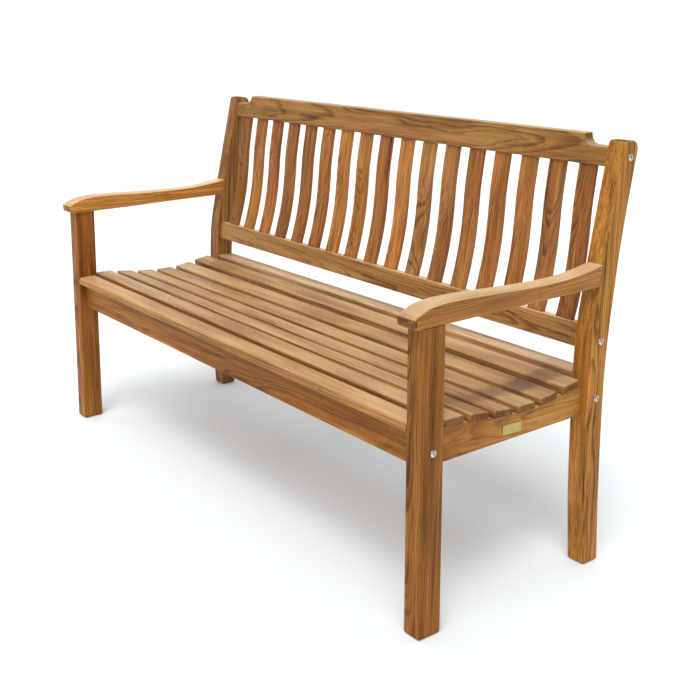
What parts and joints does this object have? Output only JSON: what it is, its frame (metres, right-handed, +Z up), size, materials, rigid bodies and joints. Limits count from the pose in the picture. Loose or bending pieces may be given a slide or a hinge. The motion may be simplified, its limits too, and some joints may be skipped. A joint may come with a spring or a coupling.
{
  "type": "garden bench",
  "caption": "Slatted teak garden bench with a dished seat, bent back slats, a crest rail with coved ends, rolled arms and a small blank brass plate.",
  "frame": {"origin": "on the floor, under the centre of the bench's bounding box", "axes": "+Z up, +X along the bench to the right as seen from the front, -Y towards the front"},
  "size_m": [1.5088, 0.6262, 0.9355],
  "materials": {
    "leg_teak": "oiled teak, straight and cathedral grain, satin",
    "arm_teak": "oiled teak, worn paler on top, satin",
    "rail_teak": "oiled teak, mid brown, satin",
    "seat_teak": "oiled teak, pale tan tops, matt",
    "back_teak": "oiled teak, varied reddish and golden boards, satin",
    "bolt_steel": "stainless steel domed bolts, satin",
    "nut_steel": "plated steel barrel nuts, hidden",
    "plate_brass": "blank brass plate, satin"
  },
  "bodies": {
    "root": {"front_leg_left": "leg_teak", "rear_leg_left": "leg_teak", "arm_left": "arm_teak", "side_rail_left": "rail_teak", "front_leg_right": "leg_teak", "rear_leg_right": "leg_teak", "arm_right": "arm_teak", "side_rail_right": "rail_teak", "front_rail": "rail_teak", "rear_seat_rail": "rail_teak", "lower_back_rail": "rail_teak", "crest_rail": "rail_teak", "centre_bearer": "rail_teak", "seat_slat_1": "seat_teak", "seat_slat_2": "seat_teak", "seat_slat_3": "seat_teak", "seat_slat_4": "seat_teak", "seat_slat_5": "seat_teak", "seat_slat_6": "seat_teak", "seat_slat_7": "seat_teak", "seat_slat_8": "seat_teak", "back_slat_01": "back_teak", "back_slat_02": "back_teak", "back_slat_03": "back_teak", "back_slat_04": "back_teak", "back_slat_05": "back_teak", "back_slat_06": "back_teak", "back_slat_07": "back_teak", "back_slat_08": "back_teak", "back_slat_09": "back_teak", "back_slat_10": "back_teak", "back_slat_11": "back_teak", "back_slat_12": "back_teak", "back_slat_13": "back_teak", "back_slat_14": "back_teak", "back_slat_15": "back_teak", "back_slat_16": "back_teak", "back_slat_17": "back_teak", "bolt_front_rail_left": "bolt_steel", "barrel_nut_front_rail_left": "nut_steel", "bolt_front_rail_right": "bolt_steel", "barrel_nut_front_rail_right": "nut_steel", "bolt_rear_seat_rail_left": "bolt_steel", "barrel_nut_rear_seat_rail_left": "nut_steel", "bolt_rear_seat_rail_right": "bolt_steel", "barrel_nut_rear_seat_rail_right": "nut_steel", "bolt_lower_back_rail_left": "bolt_steel", "barrel_nut_lower_back_rail_left": "nut_steel", "bolt_lower_back_rail_right": "bolt_steel", "barrel_nut_lower_back_rail_right": "nut_steel", "bolt_crest_rail_left": "bolt_steel", "barrel_nut_crest_rail_left": "nut_steel", "bolt_crest_rail_right": "bolt_steel", "barrel_nut_crest_rail_right": "nut_steel", "plate": "plate_brass"}
  },
  "joints": []
}
